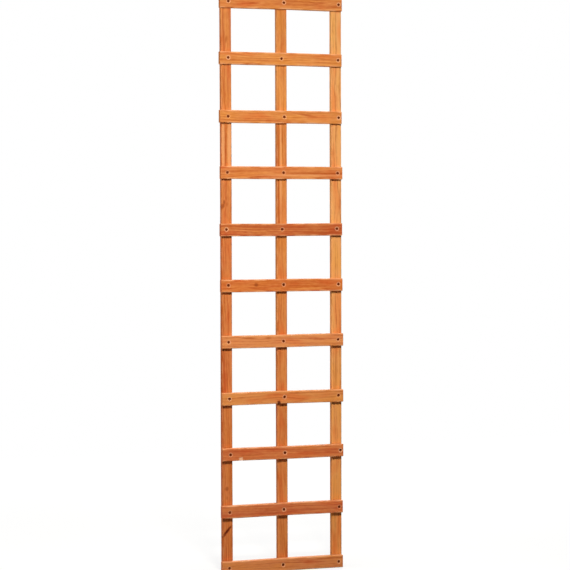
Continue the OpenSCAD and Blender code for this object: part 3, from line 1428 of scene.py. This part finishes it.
def uprights() -> list[Lath]:
    """Describes the three battens behind the slats, with their knots and streaks.

    Returns:
        The laths, from left to right.
    """
    wood = {"slot": "upright_wood", "upright": True, "edge_pale": 0.35}
    left = [
        Blemish(Flaw.SPIKE, 127.5, -7.6, 17.5, 4.0, 39.0, 0.9),
        Blemish(Flaw.SPIKE, 137.5, 0.6, 17.5, 3.6, 39.0, 0.8),
        Blemish(Flaw.STREAK, 1693.0, 0.0, 10.0, 4.5, 10.0),
        Blemish(Flaw.KNOT, 1167.0, -12.6, 6.5, 4.2, 24.0),
        Blemish(Flaw.KNOT, 1180.5, -7.8, 4.8, 2.6),
        Blemish(Flaw.STREAK, 1173.5, 1.6, 6.0, 3.6),
        Blemish(Flaw.STREAK, 1193.5, 0.6, 7.0, 4.5, strong=0.7),
        Blemish(Flaw.KNOT, 270.0, -2.4, 5.0, 4.0, strong=0.75),
        Blemish(Flaw.KNOT, 240.0, -2.4, 4.0, 2.8, strong=0.4),
        # These two darken the upright along its left edge and over its left side face, for most of its
        # length.
        Blemish(Flaw.STREAK, 650.0, -16.5, 900.0, 3.4),
        Blemish(Flaw.STREAK, 630.0, -17.0, 300.0, 2.6),
        Blemish(Flaw.SAPWOOD, 1362.0, -10.5, 90.0, 3.6),
        Blemish(Flaw.SAPWOOD, 1362.0, 10.0, 90.0, 5.0),
        Blemish(Flaw.STREAK, 1362.0, -1.5, 80.0, 2.6),
    ]
    middle = [
        Blemish(Flaw.STREAK, 1260.0, -12.0, 210.0, 3.0),
        Blemish(Flaw.STREAK, 1270.0, -12.5, 180.0, 3.4),
        Blemish(Flaw.SAPWOOD, 1300.0, -3.5, 160.0, 2.0),
        Blemish(Flaw.STREAK, 1395.0, 2.0, 40.0, 2.2),
    ]
    right = [Blemish(Flaw.STREAK, 640.0, -3.0, 60.0, 2.5)]
    return [
        Lath("left_upright", Shade.COPPER, seed=11, blemishes=left, step_across=1.2, **wood),
        Lath("middle_upright", Shade.AMBER, seed=23, blemishes=middle, **wood),
        Lath("right_upright", Shade.HONEY, seed=37, blemishes=right, foot=(1.06, 0.90, 0.70, 1.0), **wood),
    ]


def slats() -> list[Lath]:
    """Describes the laths across the front, with their shades, streaks and damage.

    Returns:
        The laths, bottom first.
    """
    shades = [Shade.TAWNY, Shade.CHESTNUT, Shade.RUSSET, Shade.OCHRE, Shade.TAWNY, Shade.GINGER,
              Shade.MAHOGANY, Shade.COPPER, Shade.AMBER, Shade.AMBER, Shade.COPPER]
    marks = {
        3: [Blemish(Flaw.STREAK, 90.0, 4.0, 30.0, 2.0)],
        # Painted shade: the spike-knot paint darkens the notch, standing for the upright in shadow behind
        # it.
        4: [Blemish(Flaw.SPIKE, 187.0, 16.5, 6.0, 6.0)],
        5: [Blemish(Flaw.STREAK, 88.0, -11.5, 20.0, 2.4, strong=1.4),
            Blemish(Flaw.STREAK, 152.0, -11.0, 9.0, 2.6, strong=1.5)],
        6: [Blemish(Flaw.KNOT, 114.0, -3.0, 5.0, 4.4)],
        8: [Blemish(Flaw.SAPWOOD, 285.0, 8.5, 115.0, 3.2, strong=0.65),
            Blemish(Flaw.STREAK, 295.0, 1.0, 110.0, 2.2)],
        9: [Blemish(Flaw.STREAK, 284.0, -7.0, 26.0, 3.0, 8.0, 1.4)],
    }
    nicks = {
        3: [Nick(60.0, 6.5, side=1, bite=0.6, splinter=1.6, bare=1.0)],
        4: [Nick(187.0, 4.5, side=1, bite=4.0, splinter=1.0, bare=0.0)],
    }
    return [Lath(f"cross_slat_{number:02d}", shade, "slat_wood", SLAT_SEED + SLAT_SEED_STEP * number,
                 blemishes=marks.get(number, []), nicks=nicks.get(number, []), fine=0.6,
                 step_across=1.0 if number in nicks else Lath.step_across)
            for number, shade in enumerate(shades, 1)]


def main() -> None:
    """Builds the panel and its room, and reports each piece."""
    logging.basicConfig(level=logging.INFO, format="%(message)s")
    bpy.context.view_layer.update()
    wood, coat = StainedSoftwood(), BronzedSteel().build("bronzed_steel")
    posts, boards = uprights(), slats()
    rows = [ScrewRow(f"slat_{number:02d}_screws", SCREW_SEED + number)
            for number in range(1, len(boards) + 1)]
    for number, post in enumerate(posts):
        post.drill(np.array([row.tops[number] for row in rows]))
    for board, row in zip(boards, rows):
        board.drill(row.tops)
    for lath in posts + boards:
        LOG.info("made %s", lath.build(wood).name)
    for row in rows:
        LOG.info("made %s", row.build(coat).name)
    Studio().build()
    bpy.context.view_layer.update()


if __name__ == "__main__":
    main()
